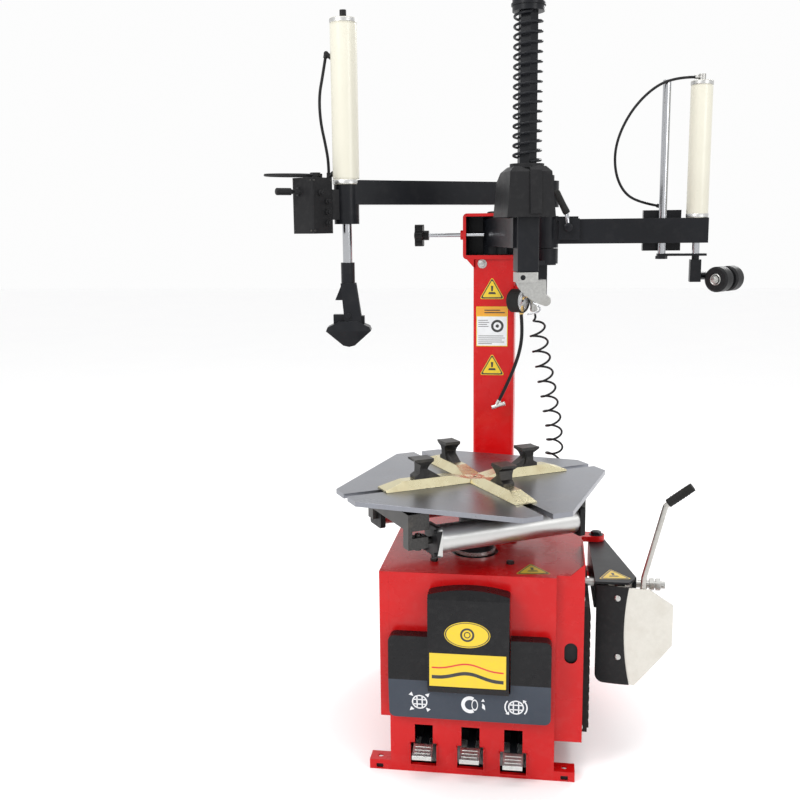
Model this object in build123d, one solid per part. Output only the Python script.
"""Swing-arm tire changer with two assist arms and a bead breaker, in millimetres.

Frame: origin on the floor at the centre of the four anchor holes, +Z up,
-Y towards the operator, +X towards the bead breaker.
"""
from build123d import *
import math
import os

os.makedirs("parts", exist_ok=True)

# ---------------------------------------------------------------- driving sizes
# Cabinet
SHEET = 3.0
TOP_SHEET = 4.0
CAB_TOP = 535.0
FRONT_Y = -370.0
REAR_Y = 370.0
BODY_LEFT = -206.0
BODY_RIGHT = 209.0
PANEL_LEFT = -230.0
PANEL_BOTTOM = 150.0
BOX_RIGHT = 277.0
BOX_FRONT = -350.0
BOX_BOTTOM = 60.0
BOX_EAR_TOP = 567.0

# Anchor feet
FOOT_X = 235.0
FOOT_Y = 348.0
FOOT_END = 261.0
FOOT_TOP = 26.0
FOOT_DEPTH = 44.0
ANCHOR_R = 7.0

# Turntable
TABLE_X = -5.0
TABLE_Y = -183.0
TABLE_TOP = 729.0
TABLE_T = 12.0
TABLE_R = 366.0
CORNER_HALF = 10.5
SLOT_ANGLES = (32.0, 122.0, 212.0, 302.0)
SLOT_W = 26.0
SLIDER_END = 262.0
SLIDER_RISE = 22.0
JAW_R = 154.0
JAW_H = 52.0
GAP = 0.6

# Clamp cylinders, one each side of the first and third slots
CLAMP_OFFSET = 140.0
CLAMP_Z = 632.0
CLAMP_R = 35.0
CLAMP_ROD_R = 9.0
CLAMP_BACK = 225.0
CLAMP_FRONT = -193.0
CLEVIS_U = -252.0

# Column and swing arm
COLUMN_X = 18.0
COLUMN_Y = 290.0
COLUMN_W = 120.0
COLUMN_TOP = 1283.0
HEAD_HALF = 90.0
HEAD_TOP = 1415.0
ARM_Z0 = 1322.0
ARM_Z1 = 1400.0
ARM_W = 70.0
SHAFT_X = 118.0
SHAFT_Y = -70.0
SLEEVE_W = 56.0
SLEEVE_Z0 = 1262.0
SLEEVE_Z1 = 1532.0
HEX_AF = 44.0
COVER_Z0 = 1401.0
COVER_Z1 = 1528.0
SPRING_Z0 = 1535.0
SPRING_Z1 = 1905.0
SPRING_R = 34.5
SPRING_WIRE = 7.0
SPRING_TURNS = 15
CAP_TOP = 1960.0
STOP_Z = 1353.0
STOP_Y = 242.0

# Assist arms
POST_X = 165.0
POST_Y = 430.0
POST_R = 24.0
COLLAR_R = 38.0
LEFT_X = -370.0
LEFT_Y = 5.0
LEFT_Z0 = 1440.0
LEFT_TUBE = 65.0
LEFT_CYL_R = 36.0
LEFT_CYL_TOP = 1922.0
LEFT_ROD_R = 13.0
LEVER_PIVOT = 153.0
RIGHT_Z0 = 1322.0
RIGHT_Z1 = 1396.0
RIGHT_END = 644.0
RIGHT_CYL_X = 613.0
RIGHT_CYL_R = 32.0
RIGHT_CYL_TOP = 1790.0
GUIDE_X = 513.0
GUIDE_R = 12.0
ROLLER_R = 38.0
ROLLER_W = 44.0
ROLLER_PITCH = 66.0
ROLLER_Z = 1213.0

# Bead breaker
HINGE_X = 322.0
HINGE_Y = 100.0
BREAK_Z0 = 400.0
BREAK_TOP = 486.0
BLADE_PIVOT_X = 372.0
BLADE_PIVOT_Y = -214.0
BREAK_ROD_Z = 462.0
BREAK_ROD_Y = -184.0

# Pedals
PEDAL_XS = (-120.0, -1.0, 107.0)
PEDAL_DROPS = (0.0, 2.0, 10.0)
PEDAL_SHAFT_Y = -175.0
PEDAL_SHAFT_Z = 80.0
PEDAL_W = 49.0

RUN_FIT = 0.05


# ---------------------------------------------------------------- small helpers
def block(x0, x1, y0, y1, z0, z1):
    """Box between two corners."""
    centre = Pos((x0 + x1) / 2, (y0 + y1) / 2, (z0 + z1) / 2)
    return centre * Box(x1 - x0, y1 - y0, z1 - z0)


def rod(start, end, radius):
    """Round bar between two points."""
    direction = Vector(*end) - Vector(*start)
    plane = Plane(origin=start, z_dir=direction)
    return extrude(plane * Circle(radius), direction.length)


def tube(start, end, outer, inner):
    """Round tube between two points."""
    direction = Vector(*end) - Vector(*start)
    plane = Plane(origin=start, z_dir=direction)
    return extrude(plane * (Circle(outer) - Circle(inner)), direction.length)


def plan(points, z0, z1):
    """Outline in plan, extruded from z0 to z1."""
    return extrude(Pos(0, 0, z0) * make_face(Polyline(*points, close=True)), z1 - z0)


def facing_y(face, y0, y1):
    """Face drawn in X and Z, extruded from y0 to y1."""
    plane = Plane(origin=(0, y1, 0), x_dir=(1, 0, 0), z_dir=(0, -1, 0))
    return extrude(plane * face, y1 - y0)


def elevation(points, y0, y1):
    """Outline in X and Z, extruded from y0 to y1."""
    return facing_y(make_face(Polyline(*points, close=True)), y0, y1)


def facing_x(points, x0, x1):
    """Outline in Y and Z, extruded from x0 to x1."""
    plane = Plane(origin=(x0, 0, 0), x_dir=(0, 1, 0), z_dir=(1, 0, 0))
    return extrude(plane * make_face(Polyline(*points, close=True)), x1 - x0)


def heading(x0, y0, x1, y1):
    """Direction from one plan point to another, in degrees."""
    return math.degrees(math.atan2(y1 - y0, x1 - x0))


def save(name, *solids):
    """Write one node, made of one solid or a group of separate solids."""
    shape = solids[0] if len(solids) == 1 else Compound(children=list(solids))
    export_step(shape, "parts/" + name + ".step")


def cord_tube(name, points, diameter):
    """Tube of straight runs and tangent arcs along a hose's route."""
    vectors = [Vector(*p) for p in points]
    runs = [(b - a) for a, b in zip(vectors, vectors[1:])]
    radii = []
    for before, after in zip(runs, runs[1:]):
        half_turn = math.radians(before.get_angle(after)) / 2
        radii.append(0.45 * min(before.length, after.length) / math.tan(half_turn))
    path = FilletPolyline(*points, radius=radii)
    section = Plane(origin=path @ 0, z_dir=path % 0) * Circle(diameter / 2)
    solid = sweep(section, path=path)
    expected = math.pi * diameter ** 2 / 4 * path.length
    print(name, "radii", [round(r) for r in radii], "length", round(path.length),
          "volume ratio", round(solid.volume / expected, 4))
    return solid


def elbow(hose_end, next_point, anchor, radius):
    """Hose fitting: a straight sleeve in line with the hose, then a leg to its anchor."""
    end = Vector(*hose_end)
    back = (end - Vector(*next_point)).normalized() * 12
    corner = end + back
    part = rod(hose_end, tuple(corner), radius) + Pos(*tuple(corner)) * Sphere(radius + 0.5)
    return part + rod(tuple(corner), anchor, radius)


# ---------------------------------------------------------------- cabinet
def base_frame():
    """Welded floor frame, side skirts, anchor feet, column support and pedal shaft."""
    floor = block(BODY_LEFT, BODY_RIGHT, FRONT_Y + SHEET, REAR_Y - SHEET, 0, 4)
    floor -= block(BODY_LEFT + 45, BODY_RIGHT - 45, FRONT_Y + 48, REAR_Y - 48, -1, 5)
    frame = floor + block(BODY_LEFT + 1, BODY_RIGHT - 1, -25, 25, 0, 4)
    for x0 in (BODY_LEFT, BODY_RIGHT - SHEET):
        frame += block(x0, x0 + SHEET, FRONT_Y + SHEET, REAR_Y - SHEET, 0, PANEL_BOTTOM)
    for side in (-1, 1):
        body_edge = BODY_LEFT if side < 0 else BODY_RIGHT
        for end in (-1, 1):
            frame += foot(side, end, body_edge)
    frame += block(BODY_LEFT + 1, BODY_RIGHT - 1, PEDAL_SHAFT_Y - 20, PEDAL_SHAFT_Y + 20, 0, 30)
    for x in (-165, -60, 52, 152):
        frame += block(x, x + 6, PEDAL_SHAFT_Y - 15, PEDAL_SHAFT_Y + 15, 29, PEDAL_SHAFT_Z + 14)
    frame += rod((-165, PEDAL_SHAFT_Y, PEDAL_SHAFT_Z), (158, PEDAL_SHAFT_Y, PEDAL_SHAFT_Z), 8)
    support_top = CAB_TOP - TOP_SHEET
    for x in (COLUMN_X - 75, COLUMN_X + 67):
        frame += block(x, x + 8, 215, REAR_Y - SHEET, 2, support_top)
    frame += block(COLUMN_X - 85, COLUMN_X + 85, 215, REAR_Y - SHEET, support_top - 8, support_top)
    frame += block(BODY_LEFT + 1, -50, 100, 200, 0, 24)
    return frame


def foot(side, end, body_edge):
    """Folded foot with an anchor hole in its top and a square slot in its face."""
    x0, x1 = sorted((body_edge, side * FOOT_END))
    face_y = end * REAR_Y
    y0, y1 = sorted((face_y, face_y - end * FOOT_DEPTH))
    shell = block(x0, x1, y0, y1, 0, FOOT_TOP)
    hollow_y0, hollow_y1 = sorted((face_y - end * 4, face_y - end * (FOOT_DEPTH + 1)))
    inner_x0, inner_x1 = sorted((body_edge - side, side * (FOOT_END - 4)))
    shell -= block(inner_x0, inner_x1, hollow_y0, hollow_y1, -1, FOOT_TOP - 4)
    shell -= rod((side * FOOT_X, end * FOOT_Y, -1), (side * FOOT_X, end * FOOT_Y, 40), ANCHOR_R)
    slot_y0, slot_y1 = sorted((face_y + end, face_y - end * 5))
    shell -= block(side * FOOT_X - 9, side * FOOT_X + 9, slot_y0, slot_y1, 3, 15)
    return shell


def cabinet_shell():
    """Welded front, top and inner right wall of the cabinet."""
    front = block(BODY_LEFT, BODY_RIGHT, FRONT_Y, FRONT_Y + SHEET, 0, CAB_TOP)
    for x, drop in zip(PEDAL_XS, PEDAL_DROPS):
        front -= block(x - 23, x + 23, FRONT_Y - 1, FRONT_Y + 4, 60, 130)
        front -= block(x - 33, x + 33, FRONT_Y - 1, FRONT_Y + 4, 24 - drop, 80 - drop)
        lip = block(x - 36, x + 36, FRONT_Y - 9, FRONT_Y + SHEET, 21 - drop, 80 - drop)
        lip -= block(x - 33, x + 33, FRONT_Y - 10, FRONT_Y + 4, 24 - drop, 81)
        front += lip
    top = block(PANEL_LEFT, BODY_RIGHT, FRONT_Y, REAR_Y, CAB_TOP - TOP_SHEET, CAB_TOP)
    top -= rod((TABLE_X, TABLE_Y, 500), (TABLE_X, TABLE_Y, 600), 62)
    for x, y in gearbox_bolts():
        top -= rod((x, y, 500), (x, y, 600), 6)
    for x, y in column_bolts():
        top -= rod((x, y, 500), (x, y, 600), 6)
    wall = block(BODY_RIGHT - SHEET, BODY_RIGHT, FRONT_Y + 1, REAR_Y - SHEET,
                 PANEL_BOTTOM, CAB_TOP - 1)
    wall -= block(BODY_RIGHT - 5, BODY_RIGHT + 1, -265, -115, 390, 528)
    fitting = rod((COIL_ROUTE[-1][0], COIL_ROUTE[-1][1], CAB_TOP - 1), COIL_ROUTE[-1], 13)
    return front + top + wall + fitting


def gearbox_bolts():
    """Plan places of the four bolts that hang the gearbox from the top."""
    return [(TABLE_X + sx * 97, TABLE_Y + sy * 93) for sx in (-1, 1) for sy in (-1, 1)]


def column_bolts():
    """Plan places of the four bolts under the column."""
    return [(COLUMN_X + sx * 74, COLUMN_Y + sy * 66) for sx in (-1, 1) for sy in (-1, 1)]


def access_panel():
    """Removable cover folded round the left side and the back."""
    z1 = CAB_TOP - TOP_SHEET
    panel = block(PANEL_LEFT, PANEL_LEFT + SHEET, FRONT_Y, REAR_Y, PANEL_BOTTOM, z1)
    panel += block(PANEL_LEFT, BODY_LEFT, FRONT_Y, FRONT_Y + SHEET, PANEL_BOTTOM, z1)
    panel += block(PANEL_LEFT, BODY_LEFT, FRONT_Y, REAR_Y, PANEL_BOTTOM, PANEL_BOTTOM + SHEET)
    panel += block(PANEL_LEFT, BODY_RIGHT, REAR_Y - SHEET, REAR_Y, PANEL_BOTTOM, z1)
    panel += block(BODY_LEFT, BODY_RIGHT, REAR_Y - SHEET, REAR_Y, 6, PANEL_BOTTOM + 1)
    return panel


def right_side_box():
    """Side box with an ear above the top, a slot in its face and the breaker hinge lugs."""
    x0 = BODY_RIGHT
    x1 = BOX_RIGHT
    ear = BOX_EAR_TOP
    face = [(x0, 98), (x1, 98), (x1, ear), (x1 - 35, CAB_TOP), (x0, CAB_TOP)]
    box = elevation(face, BOX_FRONT, BOX_FRONT + SHEET)
    slot = SlotOverall(54, 32, rotation=90)
    box -= facing_y(Pos(246, 334) * slot, BOX_FRONT - 1, BOX_FRONT + 4)
    side = [(BOX_FRONT, 98), (BOX_FRONT + 90, BOX_BOTTOM), (350, BOX_BOTTOM), (350, CAB_TOP),
            (-110, CAB_TOP), (-160, ear), (BOX_FRONT, ear)]
    box += facing_x(side, x1 - SHEET, x1)
    box += block(x0, x1, BOX_FRONT, 350, CAB_TOP - SHEET, CAB_TOP)
    box += block(x0, x1, 350 - SHEET, 350, BOX_BOTTOM, CAB_TOP)
    box -= block(x1 - 4, x1 + 1, BREAK_ROD_Y - 35, BREAK_ROD_Y + 35, 445, 500)
    for z0, z1 in ((BREAK_Z0 - 16, BREAK_Z0 - GAP), (BREAK_TOP + GAP, BREAK_TOP + 16)):
        lug = block(x1 - 1, HINGE_X, HINGE_Y - 24, HINGE_Y + 24, z0, z1)
        lug += rod((HINGE_X, HINGE_Y, z0), (HINGE_X, HINGE_Y, z1), 24)
        box += lug
    box += rod((HINGE_X, HINGE_Y, BREAK_Z0 - 22), (HINGE_X, HINGE_Y, BREAK_TOP + 26), 10)
    return box


def cover_panel():
    """Wide lower plastic cover, slanted below its middle line, cut out for the hood."""
    outline = facing_y(Pos(-2.5, 272) * RectangleRounded(403, 220, 16), FRONT_Y - 45, FRONT_Y)
    profile = facing_x([(FRONT_Y, 150), (FRONT_Y - 24, 150), (FRONT_Y - 37, 268),
                        (FRONT_Y - 34, 390), (FRONT_Y, 390)], -230, 230)
    cover = outline & profile
    inner = facing_y(Pos(-2.5, 272) * RectangleRounded(397, 214, 13), FRONT_Y - 21, FRONT_Y + 1)
    cover -= inner
    cover -= block(-105, 100, FRONT_Y - 50, FRONT_Y + 1, 243, 400)
    return cover


def cover_hood():
    """Raised middle cover with an arched top and a sloping lip."""
    arch = Line((-103, 245), (97, 245)) + Line((97, 245), (97, 496))
    arch += ThreePointArc((97, 496), (-3, 509), (-103, 496))
    arch += Line((-103, 496), (-103, 245))
    face = make_face(arch)
    hood = facing_y(face, FRONT_Y - 60, FRONT_Y)
    profile = facing_x([(FRONT_Y, 240), (FRONT_Y - 46, 240), (FRONT_Y - 56, 262),
                        (FRONT_Y - 50, 486), (FRONT_Y - 38, 510), (FRONT_Y, 510)], -120, 120)
    hood = hood & profile
    hood = fillet(hood.edges().filter_by(Axis.Z).group_by(Axis.Y)[0], 9)
    return hood - block(-97, 91, FRONT_Y - 32, FRONT_Y + 1, 251, 486)


def cabinet_bolts():
    """Hexagon-headed bolts of the gearbox and the column, as separate solids."""
    bolts = []
    for places, seat in ((gearbox_bolts(), CAB_TOP), (column_bolts(), CAB_TOP + 12)):
        for x, y in places:
            head = Pos(x, y, seat) * extrude(RegularPolygon(10, 6), 7)
            bolts.append(head + rod((x, y, CAB_TOP - TOP_SHEET), (x, y, seat + 1), 5.9))
    return bolts


def support_pad():
    """Ribbed rubber pad on the side box, which the tire leans on."""
    pad = block(BOX_RIGHT, BOX_RIGHT + 14, -305, 60, 104, 440)
    for z in range(116, 420, 24):
        pad += block(BOX_RIGHT + 13, BOX_RIGHT + 18, -305, 60, z, z + 12)
    return pad


# ---------------------------------------------------------------- drive
PULLEY_X = -160.0
WORM_Y = TABLE_Y + 72.0
WORM_Z = 446.0
MOTOR_Y = 138.0
MOTOR_Z = 104.0
WORM_PULLEY_R = 80.0
MOTOR_PULLEY_R = 30.0
BELT_W = 13.0


def gearbox():
    """Worm gearbox hung under the top, with the spindle's bore through it."""
    box = rod((TABLE_X, TABLE_Y, 400), (TABLE_X, TABLE_Y, 500), 98)
    box += rod((TABLE_X, TABLE_Y, 499), (TABLE_X, TABLE_Y, CAB_TOP - TOP_SHEET), 60)
    box += rod((TABLE_X - 115, WORM_Y, WORM_Z), (TABLE_X + 90, WORM_Y, WORM_Z), 36)
    for x, y in gearbox_bolts():
        box += rod((x, y, 484), (x, y, CAB_TOP - TOP_SHEET), 13)
        box += rod((x, y, 490), (TABLE_X, TABLE_Y, 490), 10)
    box -= rod((TABLE_X, TABLE_Y, 430), (TABLE_X, TABLE_Y, 560), 40 + RUN_FIT)
    box -= rod((TABLE_X - 116, WORM_Y, WORM_Z), (TABLE_X - 80, WORM_Y, WORM_Z), 11 + RUN_FIT)
    return box


def pulley(y, z, radius, shaft_end):
    """Grooved pulley with its shaft end."""
    wheel = rod((PULLEY_X - 10, y, z), (PULLEY_X + 10, y, z), radius)
    groove = tube((PULLEY_X - BELT_W / 2, y, z), (PULLEY_X + BELT_W / 2, y, z),
                  radius + 1, radius - 8)
    return wheel - groove + rod((PULLEY_X + 9, y, z), (shaft_end, y, z), 11)


def drive_motor():
    """Finned electric motor on its foot, with the bearing bore of its shaft."""
    motor = rod((-128, MOTOR_Y, MOTOR_Z), (48, MOTOR_Y, MOTOR_Z), 66)
    for x in range(-112, 36, 12):
        motor += rod((x, MOTOR_Y, MOTOR_Z), (x + 4, MOTOR_Y, MOTOR_Z), 71)
    motor += block(-120, -60, MOTOR_Y - 50, MOTOR_Y + 50, 24, 60)
    motor += block(-90, 0, MOTOR_Y - 30, MOTOR_Y + 30, MOTOR_Z + 60, MOTOR_Z + 98)
    return motor - rod((-129, MOTOR_Y, MOTOR_Z), (-80, MOTOR_Y, MOTOR_Z), 11 + RUN_FIT)


def drive_belt():
    """Belt round both pulleys: two straight runs and two wrapped arcs."""
    def loop(grow):
        """Solid of the belt's outline, grown outwards from the groove floor."""
        big = WORM_PULLEY_R - 8 + grow
        small = MOTOR_PULLEY_R - 8 + grow
        span = math.hypot(WORM_Y - MOTOR_Y, WORM_Z - MOTOR_Z)
        along = math.atan2(WORM_Z - MOTOR_Z, WORM_Y - MOTOR_Y)
        lean = math.asin((big - small) / span)
        corners = []
        for y, z, r, sign in ((MOTOR_Y, MOTOR_Z, small, 1), (WORM_Y, WORM_Z, big, 1),
                              (WORM_Y, WORM_Z, big, -1), (MOTOR_Y, MOTOR_Z, small, -1)):
            angle = along + sign * (math.pi / 2 + lean)
            corners.append((y + r * math.cos(angle), z + r * math.sin(angle)))
        x0 = PULLEY_X - BELT_W / 2 + 0.5
        x1 = PULLEY_X + BELT_W / 2 - 0.5
        body = facing_x(corners, x0, x1)
        body += rod((x0, MOTOR_Y, MOTOR_Z), (x1, MOTOR_Y, MOTOR_Z), small)
        return body + rod((x0, WORM_Y, WORM_Z), (x1, WORM_Y, WORM_Z), big)
    return loop(7.5) - loop(0.5)


# ---------------------------------------------------------------- turntable
AT_TABLE = Pos(TABLE_X, TABLE_Y, 0)


def spindle():
    """Output spindle with the air-coupling hub that carries the turntable."""
    part = rod((TABLE_X, TABLE_Y, 432), (TABLE_X, TABLE_Y, 545), 40)
    part += rod((TABLE_X, TABLE_Y, CAB_TOP + GAP), (TABLE_X, TABLE_Y, 546), 54)
    part += rod((TABLE_X, TABLE_Y, 545), (TABLE_X, TABLE_Y, 600), 50)
    part += rod((TABLE_X, TABLE_Y, 599), (TABLE_X, TABLE_Y, TABLE_TOP - TABLE_T), 42)
    return part


def turntable():
    """Square steel plate with cut corners and a radial slot through each corner."""
    corners = []
    for angle in SLOT_ANGLES:
        for offset in (-CORNER_HALF, CORNER_HALF):
            a = math.radians(angle + offset)
            corners.append((TABLE_R * math.cos(a), TABLE_R * math.sin(a)))
    plate = plan(corners, TABLE_TOP - TABLE_T, TABLE_TOP)
    for angle in SLOT_ANGLES:
        slot = block(62, TABLE_R + 5, -SLOT_W / 2, SLOT_W / 2, TABLE_TOP - 20, TABLE_TOP + 5)
        plate -= Rot(0, 0, angle) * slot
    return AT_TABLE * plate


def sync_disc():
    """Disc that turns under the table and keeps the four sliders in step."""
    part = rod((0, 0, 664), (0, 0, 672), 100) - rod((0, 0, 660), (0, 0, 680), 42 + RUN_FIT)
    for angle in SLOT_ANGLES:
        part += Rot(0, 0, angle + 45) * rod((86, 0, 671), (86, 0, 684), 7)
    return AT_TABLE * part


def slider_body(clamp_arms):
    """Pressed channel on the table, its guide through the slot and the plate below."""
    z0 = TABLE_TOP + GAP
    z1 = TABLE_TOP + SLIDER_RISE
    side = [(4, z0), (SLIDER_END, z0), (SLIDER_END, z0 + 4), (SLIDER_END - 54, z1), (80, z1),
            (22, z0 + 8), (4, z0 + 7)]
    ridge = elevation(side, -40, 40)
    ridge = ridge & facing_x([(-30, z0), (30, z0), (15, z1), (-15, z1)], 0, 300)
    inside = elevation([(0, z0 - 1), (SLIDER_END - 5, z0 - 1), (SLIDER_END - 56, z1 - 3),
                        (82, z1 - 3), (24, z0 + 5), (0, z0 + 4)], -40, 40)
    inside = inside & facing_x([(-27, z0 - 1), (27, z0 - 1), (12.5, z1 - 3), (-12.5, z1 - 3)],
                               -1, 300)
    ridge -= inside
    ridge = ridge & plan([(0.8, 0), (300, 299.2), (300, -299.2)], 0, 2000)
    guide = block(84, 214, -SLOT_W / 2 + GAP, SLOT_W / 2 - GAP, 700, z1 - 1)
    guide = guide & facing_x([(-30, 0), (30, 0), (30, z0), (15, z1), (-15, z1), (-30, z0)], 0, 300)
    below = block(84, 260, -34, 34, 702, TABLE_TOP - TABLE_T - GAP)
    body = ridge + guide + below
    if not clamp_arms:
        return [body]
    v = CLAMP_OFFSET
    body += block(CLAMP_BACK, CLAMP_BACK + 14, -v - 16, 0, 690, 706)
    body += block(CLAMP_BACK, CLAMP_BACK + 14, -v - 16, -v + 16, CLAMP_Z - 14, 692)
    body += block(-CLEVIS_U - 16, -CLEVIS_U + 8, 0, v + 16, 690, 706)
    body += block(205, 260, -90, v + 16, 664, 706) - block(209, 256, -86, v + 12, 663, 702)
    body += block(-CLEVIS_U - 3, -CLEVIS_U + 8, v - 15, v + 15, CLAMP_Z - 14, 692)
    rod_start = (-CLEVIS_U - 3, v, CLAMP_Z)
    inner_end = -(CLAMP_FRONT + 262)
    clamp_rod = rod(rod_start, (inner_end, v, CLAMP_Z), CLAMP_ROD_R)
    clamp_rod += rod((inner_end - 12, v, CLAMP_Z), (inner_end, v, CLAMP_Z), CLAMP_R - 4.1)
    clamp_rod += block(-CLEVIS_U - 45, -CLEVIS_U - 3, v - 15, v + 15, CLAMP_Z - 14, CLAMP_Z + 14)
    clamp_rod += rod((-CLEVIS_U - 24, v, CLAMP_Z - 20), (-CLEVIS_U - 24, v, CLAMP_Z + 20), 8)
    return [body, clamp_rod]


def jaw():
    """Stepped steel jaw that grips the rim from inside or outside."""
    z = TABLE_TOP + SLIDER_RISE
    r = JAW_R
    top = z + JAW_H
    outline = [(r - 26, z), (r + 24, z), (r + 24, z + 8), (r + 12, z + 15), (r + 10, top - 15),
               (r + 26, top - 5), (r + 28, top), (r - 26, top)]
    body = elevation(outline, -22, 22)
    body -= rod((r - 38, -30, z + 19), (r - 38, 30, z + 19), 28)
    body += elevation([(r - 50, z), (r - 4, z), (r - 4, z + 26), (r - 12, z + 24)], -12, 12)
    flare = [(-15, z), (15, z), (17, z + 26), (22, top - 8), (22, top),
             (-22, top), (-22, top - 8), (-17, z + 26)]
    body = body & facing_x(flare, 0, 300)
    return body - rod((r + 122, 0, z + 9), (r + 122, 0, z + 60), 98)


def clamp_cylinder():
    """Air cylinder barrel with square end caps and tie bolts."""
    v = -CLAMP_OFFSET
    barrel = tube((CLAMP_FRONT + 8, v, CLAMP_Z), (CLAMP_BACK - 8, v, CLAMP_Z), CLAMP_R, CLAMP_R - 4)
    for u in (CLAMP_FRONT, CLAMP_BACK - 14):
        cap = block(u, u + 14, v - 37, v + 37, CLAMP_Z - 37, CLAMP_Z + 37)
        barrel += fillet(cap.edges().filter_by(Axis.X), 7)
    barrel -= rod((CLAMP_FRONT - 1, v, CLAMP_Z), (CLAMP_FRONT + 20, v, CLAMP_Z),
                  CLAMP_ROD_R + RUN_FIT)
    for dy in (-29, 29):
        for dz in (-29, 29):
            start = (CLAMP_FRONT - 7, v + dy, CLAMP_Z + dz)
            barrel += rod(start, (CLAMP_FRONT + 1, v + dy, CLAMP_Z + dz), 5)
    barrel += rod((CLAMP_FRONT + 7, v, CLAMP_Z - 44), (CLAMP_FRONT + 7, v, CLAMP_Z - 36), 6)
    return barrel


# ---------------------------------------------------------------- column and swing arm
ARM_ANGLE = heading(COLUMN_X, COLUMN_Y, SHAFT_X, SHAFT_Y)
ARM_LENGTH = math.hypot(SHAFT_X - COLUMN_X, SHAFT_Y - COLUMN_Y)
AT_ARM = Pos(COLUMN_X, COLUMN_Y, 0) * Rot(0, 0, ARM_ANGLE)


def column():
    """Square column on its base plate, with the open head that holds the arm's pin."""
    x, y, half = COLUMN_X, COLUMN_Y, COLUMN_W / 2
    base = block(x - HEAD_HALF, x + HEAD_HALF, y - 80, y + 80, CAB_TOP, CAB_TOP + 12)
    for bx, by in column_bolts():
        base -= rod((bx, by, 500), (bx, by, 600), 6)
    post = block(x - half, x + half, y - half, y + half, CAB_TOP + 12, COLUMN_TOP)
    post = fillet(post.edges().filter_by(Axis.Z), 8)
    post -= block(x - half + 5, x + half - 5, y - half + 5, y + half - 5, 0, COLUMN_TOP + 1)
    y0, y1 = y - 68, y + half
    head = block(x - HEAD_HALF, x + HEAD_HALF, y0, y1, COLUMN_TOP, HEAD_TOP)
    head = fillet(head.edges().filter_by(Axis.Y), 12)
    head -= block(x - HEAD_HALF + 9, x + HEAD_HALF + 1, y0 - 1, y1 - 8,
                  COLUMN_TOP + 12, HEAD_TOP - 9)
    gusset = elevation([(x - HEAD_HALF + 6, COLUMN_TOP + 6), (x - half + 2, COLUMN_TOP + 6),
                        (x - half + 2, COLUMN_TOP - 24)], y0, y1)
    pin = rod((x, y, COLUMN_TOP + 6), (x, y, HEAD_TOP + 3), 16)
    boss = rod((x - HEAD_HALF - 8, STOP_Y, STOP_Z), (x - HEAD_HALF + 8, STOP_Y, STOP_Z), 14)
    hook = block(x + half - 2, x + half + 44, y - 52, y - 44, 1186, 1206)
    hook += block(x + half + 34, x + half + 44, HOOK_Y, y - 44, 1186, 1206)
    part = base + post + head + gusset + pin + boss + hook
    part -= rod((x - HEAD_HALF - 20, STOP_Y, STOP_Z), (x - HEAD_HALF + 20, STOP_Y, STOP_Z),
                6 + RUN_FIT)
    return part


def stop_screw():
    """Threaded stop screw with its lobed knob."""
    x1 = COLUMN_X - 30
    screw = rod((-190, STOP_Y, STOP_Z), (x1, STOP_Y, STOP_Z), 6)
    knob = rod((-213, STOP_Y, STOP_Z), (-190, STOP_Y, STOP_Z), 27)
    knob += rod((-191, STOP_Y, STOP_Z), (-174, STOP_Y, STOP_Z), 14)
    for k in range(6):
        a = math.radians(60 * k)
        y, z = STOP_Y + 26 * math.cos(a), STOP_Z + 26 * math.sin(a)
        knob += rod((-213, y, z), (-190, y, z), 9)
    return screw + knob


def swing_arm():
    """Box arm with its hinge boss and the square sleeve that guides the shaft."""
    boss = rod((0, 0, COLUMN_TOP + 13), (0, 0, HEAD_TOP - 10), 36)
    beam = block(10, ARM_LENGTH, -ARM_W / 2, ARM_W / 2, ARM_Z0, ARM_Z1)
    beam -= block(40, ARM_LENGTH - 30, -ARM_W / 2 + 5, ARM_W / 2 - 5, ARM_Z0 + 5, ARM_Z1 - 5)
    half = SLEEVE_W / 2
    sleeve = block(ARM_LENGTH - half, ARM_LENGTH + half, -half, half, SLEEVE_Z0, SLEEVE_Z1)
    sleeve = fillet(sleeve.edges().filter_by(Axis.Z), 4)
    arm = boss + beam + sleeve
    arm -= rod((0, 0, 1200), (0, 0, 1500), 16 + RUN_FIT)
    bore = Pos(ARM_LENGTH, 0, SLEEVE_Z0 - 50) * extrude(
        RegularPolygon(HEX_AF / 2 + 0.4, 6, major_radius=False), 400)
    return AT_ARM * (arm - bore)


def cover_solid(inset, z0):
    """Tapered block of the lock cover, shrunk by inset."""
    a0, a1, w = ARM_LENGTH - 112 + inset, ARM_LENGTH + 56 - inset, 63 - inset
    top = COVER_Z1 - inset
    along = elevation([(a0, z0), (a1, z0), (a1 - 8, top - 14), (a1 - 20, top),
                       (a0 + 66, top), (a0 + 4, top - 36)], -80, 80)
    across = facing_x([(-w, z0), (w, z0), (w - 9, top - 13), (w - 22, top),
                       (22 - w, top), (9 - w, top - 13)], 0, 600)
    return along & across


def lock_cover():
    """Plastic cover over the shaft lock, open below, with a rib down its face."""
    cover = cover_solid(0, COVER_Z0) - cover_solid(4, COVER_Z0 - 1)
    rib = elevation([(ARM_LENGTH + 54, COVER_Z0 + 8), (ARM_LENGTH + 60, COVER_Z0 + 8),
                     (ARM_LENGTH + 52, COVER_Z1 - 10), (ARM_LENGTH + 40, COVER_Z1 + 2),
                     (ARM_LENGTH + 37, COVER_Z1 - 2), (ARM_LENGTH + 46, COVER_Z1 - 14)], -4, 26)
    seat = tube((ARM_LENGTH, 0, COVER_Z1 - 4), (ARM_LENGTH, 0, SPRING_Z0), 44, 39.8)
    cover = cover + rib + seat
    return AT_ARM * (cover - rod((ARM_LENGTH, 0, 1500), (ARM_LENGTH, 0, 1560), 39.8))


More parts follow.
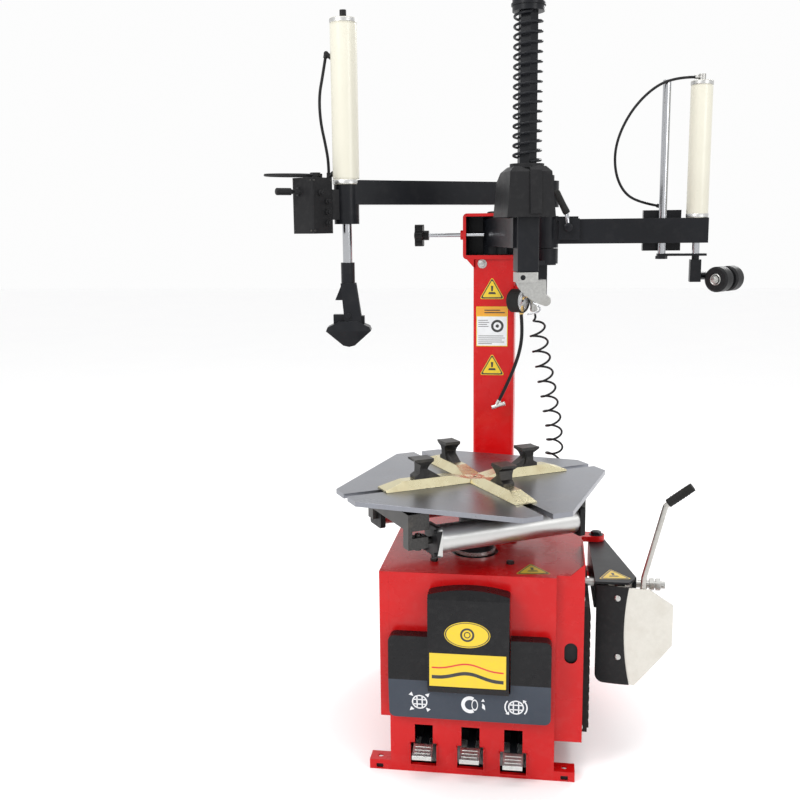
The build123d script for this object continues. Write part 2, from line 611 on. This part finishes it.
def hex_shaft():
    """Hexagonal shaft that carries the mount head."""
    shaft = extrude(RegularPolygon(HEX_AF / 2, 6, major_radius=False), CAP_TOP - 30 - 1244)
    return AT_ARM * Pos(ARM_LENGTH, 0, 1244) * shaft


def shaft_cap():
    """Cap that holds the spring down on the shaft's top."""
    cap = rod((ARM_LENGTH, 0, SPRING_Z1 + 0.2), (ARM_LENGTH, 0, CAP_TOP), SPRING_R + 6)
    cap = fillet(cap.edges().group_by(Axis.Z)[-1], 6)
    cap += tube((ARM_LENGTH, 0, SPRING_Z1 + 14), (ARM_LENGTH, 0, SPRING_Z1 + 20),
                SPRING_R + 9, SPRING_R)
    core = extrude(RegularPolygon(HEX_AF / 2 + 0.01, 6, major_radius=False), 200)
    core = core & block(-60, 60, -60, 60, 0, CAP_TOP - 30 - 1800)
    return AT_ARM * (cap - Pos(ARM_LENGTH, 0, 1800) * core)


def return_spring():
    """Coil spring that lifts the shaft, seated on the sleeve's end."""
    height = SPRING_Z1 - SPRING_Z0 - SPRING_WIRE - 0.6
    path = Helix(height / SPRING_TURNS, height, SPRING_R)
    section = Plane(origin=path @ 0, z_dir=path % 0) * Circle(SPRING_WIRE / 2)
    coil = sweep(section, path=path, is_frenet=True)
    return AT_ARM * Pos(ARM_LENGTH, 0, SPRING_Z0 + SPRING_WIRE / 2 + 0.3) * coil


def mount_head():
    """Clamp block on the shaft and the curved head that guides the tire bead."""
    clamp = block(ARM_LENGTH - 29, ARM_LENGTH + 29, -27, 27, 1234, 1260)
    clamp = fillet(clamp.edges().filter_by(Axis.Z), 4)
    core = extrude(RegularPolygon(HEX_AF / 2 + 0.01, 6, major_radius=False), 40)
    clamp -= Pos(ARM_LENGTH, 0, 1244) * core
    clamp = AT_ARM * clamp
    beak = Line((92, 1235), (150, 1240)) + Line((150, 1240), (171, 1240))
    beak += Line((171, 1240), (172, 1200))
    beak += ThreePointArc((172, 1200), (181, 1194), (184, 1185))
    beak += ThreePointArc((184, 1185), (180, 1176), (168, 1173))
    beak += ThreePointArc((168, 1173), (130, 1191), (98, 1222))
    beak += Line((98, 1222), (92, 1235))
    head = facing_y(make_face(beak), SHAFT_Y - 20, SHAFT_Y + 20)
    screw = rod((SHAFT_X - 6, SHAFT_Y - 30, 1247), (SHAFT_X - 6, SHAFT_Y - 20, 1247), 5)
    return clamp + head - screw


# ---------------------------------------------------------------- assist arms
LEFT_ANGLE = heading(POST_X, POST_Y, LEFT_X, LEFT_Y)
LEFT_LENGTH = math.hypot(LEFT_X - POST_X, LEFT_Y - POST_Y)
AT_LEFT = Pos(POST_X, POST_Y, 0) * Rot(0, 0, LEFT_ANGLE)


def assist_post():
    """Post of both assist arms on the bracket behind the column."""
    back = COLUMN_Y + COLUMN_W / 2
    plate = block(COLUMN_X - 60, COLUMN_X + 60, back, back + 10, 1120, 1280)
    shelf = plan([(COLUMN_X - 50, back + 5), (COLUMN_X + 60, back + 5), (POST_X + 32, POST_Y - 24),
                  (POST_X + 32, POST_Y + 34), (POST_X - 32, POST_Y + 34)], 1258, 1272)
    web = plan([(COLUMN_X + 20, back + 5), (COLUMN_X + 34, back + 5), (POST_X + 6, POST_Y + 10),
                (POST_X - 8, POST_Y + 10)], 1150, 1260)
    post = rod((POST_X, POST_Y, 1262), (POST_X, POST_Y, 1528), POST_R)
    post += rod((POST_X, POST_Y, 1262), (POST_X, POST_Y, 1308), COLLAR_R)
    post += rod((POST_X, POST_Y, 1527), (POST_X, POST_Y, 1536), 18)
    return plate + shelf + web + post


def left_arm():
    """Left arm: collar on the post, square tube and the socket of its cylinder."""
    arm = rod((0, 0, LEFT_Z0 - 8), (0, 0, LEFT_Z0 + LEFT_TUBE + 6), COLLAR_R)
    half = LEFT_TUBE / 2
    beam = block(10, LEFT_LENGTH, -half, half, LEFT_Z0, LEFT_Z0 + LEFT_TUBE)
    beam -= block(50, LEFT_LENGTH - 45, 4 - half, half - 4, LEFT_Z0 + 4, LEFT_Z0 + LEFT_TUBE - 4)
    socket = rod((LEFT_LENGTH, 0, 1388), (LEFT_LENGTH, 0, 1494), 34)
    arm = arm + beam + socket
    arm -= rod((0, 0, 1300), (0, 0, 1600), POST_R + RUN_FIT)
    arm -= rod((LEFT_LENGTH, 0, 1494), (LEFT_LENGTH, 0, 1520), LEFT_CYL_R + 0.3)
    arm -= block(LEFT_LENGTH, LEFT_LENGTH + 60, -40, 40, 1494, 1520)
    arm -= rod((LEFT_LENGTH, 0, 1300), (LEFT_LENGTH, 0, 1600), LEFT_ROD_R + RUN_FIT)
    return AT_LEFT * arm


def left_cylinder():
    """Long air cylinder standing on the left arm."""
    x, y = LEFT_X, LEFT_Y
    body = rod((x, y, 1494), (x, y, LEFT_CYL_TOP), LEFT_CYL_R)
    body -= tube((x, y, 1506), (x, y, 1510), LEFT_CYL_R + 1, LEFT_CYL_R - 1)
    body -= tube((x, y, LEFT_CYL_TOP - 16), (x, y, LEFT_CYL_TOP - 12),
                 LEFT_CYL_R + 1, LEFT_CYL_R - 1)
    body -= rod((x, y, 1510), (x, y, LEFT_CYL_TOP - 14), LEFT_CYL_R - 5)
    body -= rod((x, y, 1490), (x, y, 1520), LEFT_ROD_R + RUN_FIT)
    body += rod((x, y, LEFT_CYL_TOP - 1), (x, y, LEFT_CYL_TOP + 22), 9)
    for end, inner in ((LEFT_HOSE[0], LEFT_HOSE[1]), (LEFT_HOSE[-1], LEFT_HOSE[-2])):
        body += elbow(end, inner, (x - LEFT_CYL_R + 2, y, end[2]), 6)
    return body


def left_rod():
    """Chrome rod of the left cylinder with its piston."""
    x, y = LEFT_X, LEFT_Y
    return rod((x, y, 1248), (x, y, 1790), LEFT_ROD_R) + rod((x, y, 1772), (x, y, 1789),
                                                             LEFT_CYL_R - 5.1)


def press_tool():
    """Socket, cheek plates and cone shoe that press the tire down."""
    socket = rod((0, 0, 1216), (0, 0, 1284), 19)
    socket -= rod((0, 0, 1247.5), (0, 0, 1300), LEFT_ROD_R + RUN_FIT)
    outline = [(-20, 1228), (22, 1228), (38, 1116), (-10, 1112)]
    cheeks = elevation(outline, -21, -13) + elevation(outline, 13, 21)
    bridge = block(-18, 20, -21, 21, 1206, 1222)
    lug = elevation([(-19, 1222), (-12, 1222), (-12, 1182), (-36, 1182)], -14, 14)
    lug += block(-42, -12, -12, 12, 1112, 1142) + block(20, 44, -12, 12, 1112, 1138)
    shoe = elevation([(-62, 1098), (-58, 1108), (-24, 1124), (24, 1124), (58, 1108), (62, 1098),
                      (16, 1056), (0, 1052), (-16, 1056)], -34, 34)
    shoe = shoe & facing_x([(-34, 1098), (-26, 1124), (26, 1124), (34, 1098), (12, 1050),
                            (-12, 1050)], -80, 80)
    pin = rod((0, -26, 1140), (0, 26, 1140), 7)
    hub = block(-11, 14, -13, 13, 1120, 1156)
    tool = socket + bridge + cheeks + lug + shoe + pin + hub
    return Pos(LEFT_X, LEFT_Y, 0) * Rot(0, 0, 8) * tool


def control_box():
    """Valve box of the left arm with its bracket, top knob and stiff loop of air pipe."""
    a = LEFT_LENGTH
    box = block(-39, 39, -38, 38, 1364, 1510)
    box = Pos(a + 101, 0, 0) * Rot(0, 0, 20) * fillet(box.edges().filter_by(Axis.Z), 5)
    box += block(a + 30, a + 70, -16, 16, 1400, 1480) - rod((a, 0, 1300), (a, 0, 1600), 34)
    box += rod((a + 92, 0, 1509), (a + 92, 0, 1516), 9)
    box += rod((a + 92, 0, 1515), (a + 92, 0, 1524), 14)
    box += rod((a + 130, 0, 1474), (a + 146, 0, 1474), 12)
    for side in (-1, 1):
        y0, y1 = sorted((side * 7, side * 11))
        box += block(a + 145, a + 158, y0, y1, 1468, 1480)
    box += rod((a + LEVER_PIVOT, -11, 1474), (a + LEVER_PIVOT, 11, 1474), 3)
    box = AT_LEFT * box + cord_tube("control_loop", CONTROL_LOOP, 7)
    for x, y, z in (CONTROL_LOOP[0], CONTROL_LOOP[-1]):
        box += rod((x, y, 1509), (x, y, z + 6), 6.5)
    return box


def control_lever():
    """Hand lever of the control box, with its hub between the box's ears."""
    a = LEFT_LENGTH
    lever = rod((a + 165, 0, 1474), (a + 207, 0, 1474), 9.5)
    lever = fillet(lever.edges().group_by(Axis.X)[-1], 4)
    lever += rod((a + LEVER_PIVOT + 4, 0, 1474), (a + 166, 0, 1474), 5)
    lever += rod((a + LEVER_PIVOT, -6.4, 1474), (a + LEVER_PIVOT, 6.4, 1474), 6)
    lever -= rod((a + LEVER_PIVOT, -12, 1474), (a + LEVER_PIVOT, 12, 1474), 3 + RUN_FIT)
    return AT_LEFT * lever


def right_arm():
    """Right arm: collar, tube, valve block, lever seat and bores for both rods."""
    x, y = POST_X, POST_Y
    arm = rod((x, y, RIGHT_Z0 - 12), (x, y, RIGHT_Z1 + 10), COLLAR_R)
    beam = block(x + 20, RIGHT_END, y - 30, y + 30, RIGHT_Z0, RIGHT_Z1)
    beam -= block(x + 50, GUIDE_X - 24, y - 26, y + 26, RIGHT_Z0 + 4, RIGHT_Z1 - 4)
    beam -= block(GUIDE_X + 24, RIGHT_CYL_X - 26, y - 26, y + 26, RIGHT_Z0 + 4, RIGHT_Z1 - 4)
    valve = block(GUIDE_X - 54, GUIDE_X + 58, y + 29, y + 68, 1298, 1420)
    seat = block(204, 266, y - 46, y - 29, 1334, 1398)
    seat += block(196, 262, y - 40, y - 30, 1390, 1404)
    valve += elbow(RIGHT_HOSE[-1], RIGHT_HOSE[-2], (RIGHT_HOSE[-1][0] + 14, y + 52, 1418), 6)
    arm = arm + beam + valve + seat
    arm -= rod((x, y, 1200), (x, y, 1500), POST_R + RUN_FIT)
    arm -= rod((GUIDE_X, y, 1200), (GUIDE_X, y, 1500), GUIDE_R + RUN_FIT)
    arm -= rod((RIGHT_CYL_X, y, 1200), (RIGHT_CYL_X, y, 1500), 11 + RUN_FIT)
    pin_y = y - 46
    arm += rod((232, pin_y - 16, 1372), (232, pin_y + 1, 1372), 6)
    return arm


def right_cylinder():
    """Air cylinder standing on the right arm's end."""
    x, y = RIGHT_CYL_X, POST_Y
    body = rod((x, y, RIGHT_Z1), (x, y, RIGHT_CYL_TOP), RIGHT_CYL_R)
    body -= tube((x, y, RIGHT_CYL_TOP - 15), (x, y, RIGHT_CYL_TOP - 11),
                 RIGHT_CYL_R + 1, RIGHT_CYL_R - 1)
    body -= rod((x, y, 1412), (x, y, RIGHT_CYL_TOP - 13), RIGHT_CYL_R - 4)
    body -= rod((x, y, 1390), (x, y, 1420), 11 + RUN_FIT)
    body += rod((x, y, RIGHT_CYL_TOP - 1), (x, y, RIGHT_CYL_TOP + 20), 10)
    return body + elbow(RIGHT_HOSE[0], RIGHT_HOSE[1], (x, y, RIGHT_HOSE[0][2]), 6)


def right_rod():
    """Cylinder rod, guide rod and the link that ties them."""
    y = POST_Y
    rods = rod((RIGHT_CYL_X, y, 1272), (RIGHT_CYL_X, y, 1690), 11)
    rods += rod((RIGHT_CYL_X, y, 1672), (RIGHT_CYL_X, y, 1689), RIGHT_CYL_R - 4.1)
    rods += rod((GUIDE_X, y, 1274), (GUIDE_X, y, 1796), GUIDE_R)
    rods += block(GUIDE_X - 14, RIGHT_END, y - 14, y + 14, 1283, 1290)
    rods += Pos(GUIDE_X, y, 1274) * extrude(RegularPolygon(18, 6), 9)
    return rods


ROLLER_AXIS = Vector(0.6, 0.8, 0)
ROLLER_MID = Vector(702, 440, ROLLER_Z)


def roller_holder():
    """Elbow, bar and axle that carry the rollers."""
    x, y = RIGHT_CYL_X, POST_Y
    across = Vector(-0.8, 0.6, 0)
    elbow_end = Vector(x, y, ROLLER_Z + 10)
    corner = ROLLER_MID + across * 54 + Vector(0, 0, 8)
    part = block(x - 16, x + 16, y - 16, y + 16, ROLLER_Z - 8, 1272)
    beyond = corner + (corner - elbow_end).normalized() * 9
    part += rod(tuple(elbow_end), tuple(beyond), 12)
    part += rod(tuple(corner), tuple(ROLLER_MID), 9)
    ends = [ROLLER_MID + ROLLER_AXIS * (s * (ROLLER_PITCH / 2 + ROLLER_W / 2 + 5)) for s in (-1, 1)]
    return part + rod(tuple(ends[0]), tuple(ends[1]), 8)


def rollers():
    """Two barrel rollers that turn on the holder's axle."""
    group = []
    for s in (-1, 1):
        centre = ROLLER_MID + ROLLER_AXIS * (s * ROLLER_PITCH / 2)
        a = centre - ROLLER_AXIS * (ROLLER_W / 2)
        b = centre + ROLLER_AXIS * (ROLLER_W / 2)
        wheel = chamfer(rod(tuple(a), tuple(b), ROLLER_R).edges(), 5)
        bore_end = centre + ROLLER_AXIS * (ROLLER_W / 2 + 1)
        bore_start = centre - ROLLER_AXIS * (ROLLER_W / 2 + 1)
        group.append(wheel - rod(tuple(bore_start), tuple(bore_end), 8 + RUN_FIT))
    return group


def arm_lock_lever():
    """Lever on the right arm's face that locks its swing."""
    y = POST_Y - 58
    hub = rod((232, y - 5, 1372), (232, y + 11, 1372), 13)
    hub += rod((232, y, 1374), (226, y, 1416), 6)
    grip = rod((228, y, 1412), (192, y, 1482), 11)
    part = hub + grip
    return part - rod((232, y - 20, 1372), (232, y + 20, 1372), 6 + RUN_FIT)


# ---------------------------------------------------------------- bead breaker
def breaker_arm():
    """Hinged channel arm that swings the blade against the tire."""
    outline = [(HINGE_X - 22, HINGE_Y + 20), (HINGE_X + 22, HINGE_Y + 20), (412, -204), (306, -204)]
    arm = plan(outline, BREAK_Z0, BREAK_TOP)
    inner = [(HINGE_X - 16, HINGE_Y + 15), (HINGE_X + 16, HINGE_Y + 15), (405, -199), (312, -199)]
    arm -= plan(inner, BREAK_Z0 - 1, BREAK_TOP - 6)
    nose = [(306, -200), (306, -246), (390, -246), (401, -228), (412, -200)]
    arm += plan(nose, BREAK_TOP - 6, BREAK_TOP)
    arm += rod((HINGE_X, HINGE_Y, BREAK_Z0), (HINGE_X, HINGE_Y, BREAK_TOP), 22)
    for z0 in (BREAK_Z0, BREAK_TOP - 7):
        arm += rod((BLADE_PIVOT_X, BLADE_PIVOT_Y, z0), (BLADE_PIVOT_X, BLADE_PIVOT_Y, z0 + 7), 15)
        arm += block(BLADE_PIVOT_X - 15, BLADE_PIVOT_X + 15, BLADE_PIVOT_Y, -195, z0, z0 + 7)
    arm += rod((BLADE_PIVOT_X, BLADE_PIVOT_Y, BREAK_Z0), (BLADE_PIVOT_X, BLADE_PIVOT_Y, BREAK_TOP), 8)
    arm -= rod((HINGE_X, HINGE_Y, 300), (HINGE_X, HINGE_Y, 600), 10 + RUN_FIT)
    arm -= block(BLADE_PIVOT_X - 30, BLADE_PIVOT_X + 30, -206, -197, BREAK_Z0 + 7, BREAK_TOP - 7)
    return arm - rod((290, BREAK_ROD_Y, BREAK_ROD_Z), (440, BREAK_ROD_Y, BREAK_ROD_Z), 10.4)


def blade_shell(x0, x1, near, thick):
    """Upright curved sheet: an arc in plan that bulges towards the operator."""
    outer = ThreePointArc((x0, near), ((x0 + x1) / 2, near - 14), (x1, near))
    inner = ThreePointArc((x1, near + thick), ((x0 + x1) / 2, near + thick - 14), (x0, near + thick))
    edge = outer + Line((x1, near), (x1, near + thick)) + inner + Line((x0, near + thick), (x0, near))
    return extrude(Pos(0, 0, 150) * make_face(edge), 400)


def breaker_blade():
    """Steel blade on its pivot barrel, with the welded pull handle and its grip."""
    outline = [(318, 224), (409, 214), (423, 230), (502, 321), (502, 428), (440, 472), (318, 477)]
    sheet = blade_shell(306, 506, -240, 6) & elevation(outline, -300, -150)
    barrel = rod((BLADE_PIVOT_X, BLADE_PIVOT_Y, BREAK_Z0 + 8),
                 (BLADE_PIVOT_X, BLADE_PIVOT_Y, BREAK_TOP - 8), 15)
    web = block(BLADE_PIVOT_X - 10, BLADE_PIVOT_X + 10, -248, BLADE_PIVOT_Y, BREAK_Z0 + 10,
                BREAK_TOP - 10)
    bore = rod((BLADE_PIVOT_X, BLADE_PIVOT_Y, 380), (BLADE_PIVOT_X, BLADE_PIVOT_Y, 500),
               8 + RUN_FIT)
    foot_point = (424, -242, 440)
    bend = (427, -242, 500)
    top = (474, -242, 688)
    handle = rod(foot_point, bend, 7) + Pos(*bend) * Sphere(7) + rod(bend, top, 7)
    handle += Pos(*top) * Sphere(7) + rod(top, (488, -245, 703), 7)
    grip = rod((480, -243, 696), (536, -252, 742), 11)
    return sheet + web + barrel + handle + grip - bore


def blade_guard():
    """Plastic guard over the blade's leading edge."""
    outline = Line((310, 477), (390, 477)) + ThreePointArc((390, 477), (380, 360), (396, 216))
    outline += Line((396, 216), (330, 216)) + ThreePointArc((330, 216), (316, 222), (310, 236))
    outline += Line((310, 236), (310, 477))
    return blade_shell(306, 506, -245, 4.8) & facing_y(make_face(outline), -300, -150)


def breaker_rod():
    """Rod that pulls the arm in, with its stop nuts outside the arm."""
    y, z = BREAK_ROD_Y, BREAK_ROD_Z
    part = rod((268, y, z), (486, y, z), 10.2)
    for x in (428, 446, 462):
        part += Pos(x, y, z) * Rot(0, 90, 0) * extrude(RegularPolygon(17, 6), 12)
    return part


def breaker_cylinder():
    """Wide air cylinder inside the cabinet, open where the rod meets it."""
    y, z = BREAK_ROD_Y, BREAK_ROD_Z
    part = rod((116, y, z), (262, y, z), 62) - rod((130, y, z), (263, y, z), 24)
    return part + rod((108, y, z), (118, y, z), 18)


# ---------------------------------------------------------------- pedals
def pedal(x, drop):
    """Cast pedal: hub on the shaft, arm through the front and a sloped tread."""
    z = PEDAL_SHAFT_Z
    part = rod((x - 16, PEDAL_SHAFT_Y, z), (x + 16, PEDAL_SHAFT_Y, z), 16)
    front = FRONT_Y - 6
    part += facing_x([(PEDAL_SHAFT_Y, z + 9), (front, 74 - drop), (front, 56 - drop),
                      (PEDAL_SHAFT_Y, z - 9)], x - 9, x + 9)
    tread = facing_x([(front + 4, 80 - drop), (front - 4, 83 - drop), (front - 40, 68 - drop),
                      (front - 44, 60 - drop), (front - 40, 57 - drop), (front + 4, 70 - drop)],
                     x - PEDAL_W / 2, x + PEDAL_W / 2)
    part += fillet(tread.edges().filter_by(Axis.X), 2)
    return part - rod((x - 40, PEDAL_SHAFT_Y, z), (x + 40, PEDAL_SHAFT_Y, z), 8 + RUN_FIT)


# ---------------------------------------------------------------- air line
GAUGE_C = (88.0, 188.0, 1166.0)
GAUGE_N = (0.86, -0.51, 0.0)
HOOK_Y = 208.0
HOSE_D = 10.0
THIN_D = 8.0
COIL_D = 54.0

INFLATOR_HOSE = [(100, 181, 1127), (104, 180, 1080), (98, 181, 1024), (80, 184, 968),
                 (58, 187, 916), (38, 190, 874)]
COIL_ROUTE = [(139, 200, 1126), (158, 225, 1010), (184, 258, 870), (206, 288, 730),
              (190, 306, 640), (190, 306, 556)]
CONTROL_LOOP = [(-434, -32, 1516), (-470, -16, 1517), (-532, -16, 1518), (-576, -42, 1519),
                (-576, -80, 1519), (-532, -106, 1518), (-470, -100, 1517), (-436, -84, 1516)]
LEFT_HOSE = [(-420, 5, 1824), (-428, 4, 1780), (-439, 2, 1726), (-437, 3, 1660),
             (-425, 5, 1600), (-418, 6, 1556), (-418, 6, 1526)]
RIGHT_HOSE = [(590, 424, 1801), (544, 411, 1800), (478, 406, 1779), (410, 412, 1712),
              (368, 426, 1620), (368, 442, 1536), (398, 458, 1472), (448, 474, 1444),
              (500, 484, 1434)]


def inflator():
    """Inflator gun with its round gauge, hung on the column's hook."""
    cx, cy, cz = GAUGE_C
    n = Vector(*GAUGE_N)
    back = Vector(*GAUGE_C) - n * 20
    front = Vector(*GAUGE_C) + n * 18
    gauge = rod(tuple(back), tuple(front), 34)
    rim = tube(tuple(front - n * 1), tuple(front + n * 4), 34, 30)
    body = rod((cx + 12, cy - 4, cz + 20), (cx + 52, cy + 8, cz + 12), 12)
    body += elbow(COIL_ROUTE[0], COIL_ROUTE[1], (cx + 44, cy + 6, cz + 12), 10)
    body += rod((cx + 24, cy, cz + 18), (cx + 12, cy + 4, cz - 4), 8)
    trigger = block(cx + 40, cx + 54, cy - 12, cy + 2, cz - 36, cz + 4)
    outlet = elbow(INFLATOR_HOSE[0], INFLATOR_HOSE[1], GAUGE_C, 7)
    lug = block(cx + 27, cx + 33, cy + 2, HOOK_Y, cz + 20, cz + 38)
    return gauge + rim + body + trigger + outlet + lug


def hose_chuck():
    """Metal chuck at the end of the inflator's hose."""
    tip = Vector(*INFLATOR_HOSE[-1])
    away = (tip - Vector(*INFLATOR_HOSE[-2])).normalized()
    neck = tip + away * 14
    part = rod(tuple(tip), tuple(neck), 6.5)
    part += rod(tuple(neck - Vector(16, 4, 10)), tuple(neck + Vector(22, 6, 2)), 7)
    return part


# ---------------------------------------------------------------- write the nodes
def main():
    """Write every node to its own file."""
    save("base_frame", base_frame())
    save("cabinet_shell", cabinet_shell())
    save("access_panel", access_panel())
    save("right_side_box", right_side_box())
    save("front_cover", cover_panel())
    save("cover_hood", cover_hood())
    save("cabinet_bolts", *cabinet_bolts())
    save("support_pad", support_pad())
    save("gearbox", gearbox())
    save("drive_motor", drive_motor())
    save("worm_pulley", pulley(WORM_Y, WORM_Z, WORM_PULLEY_R, TABLE_X - 84))
    save("motor_pulley", pulley(MOTOR_Y, MOTOR_Z, MOTOR_PULLEY_R, -84))
    save("drive_belt", drive_belt())
    save("spindle", spindle())
    save("turntable", turntable())
    save("sync_disc", sync_disc())
    for k, angle in enumerate(SLOT_ANGLES):
        place = AT_TABLE * Rot(0, 0, angle)
        save("slider_%d" % (k + 1), *[place * s for s in slider_body(k % 2 == 0)])
        save("jaw_%d" % (k + 1), place * jaw())
    save("clamp_cylinder_1", AT_TABLE * Rot(0, 0, SLOT_ANGLES[0]) * clamp_cylinder())
    save("clamp_cylinder_2", AT_TABLE * Rot(0, 0, SLOT_ANGLES[2]) * clamp_cylinder())
    save("column", column())
    save("stop_screw", stop_screw())
    save("swing_arm", swing_arm())
    save("lock_cover", lock_cover())
    save("hex_shaft", hex_shaft(), shaft_cap())
    save("return_spring", return_spring())
    save("mount_head", mount_head())
    save("assist_post", assist_post())
    save("left_arm", left_arm())
    save("left_cylinder", left_cylinder())
    save("left_rod", left_rod())
    save("press_tool", press_tool())
    save("control_box", control_box())
    save("control_lever", control_lever())
    save("right_arm", right_arm())
    save("right_cylinder", right_cylinder())
    save("right_rod", right_rod())
    save("roller_holder", roller_holder())
    save("rollers", *rollers())
    save("arm_lock_lever", arm_lock_lever())
    save("breaker_arm", breaker_arm())
    save("breaker_blade", breaker_blade())
    save("blade_guard", blade_guard())
    save("breaker_rod", breaker_rod())
    save("breaker_cylinder", breaker_cylinder())
    for k, (x, drop) in enumerate(zip(PEDAL_XS, PEDAL_DROPS)):
        save("pedal_%d" % (k + 1), pedal(x, drop))
    save("inflator", inflator())
    save("inflator_hose", cord_tube("inflator_hose", INFLATOR_HOSE, HOSE_D))
    save("hose_chuck", hose_chuck())
    save("coil_hose", cord_tube("coil_hose", COIL_ROUTE, COIL_D))
    save("left_hose", cord_tube("left_hose", LEFT_HOSE, THIN_D))
    save("right_hose", cord_tube("right_hose", RIGHT_HOSE, THIN_D))


main()
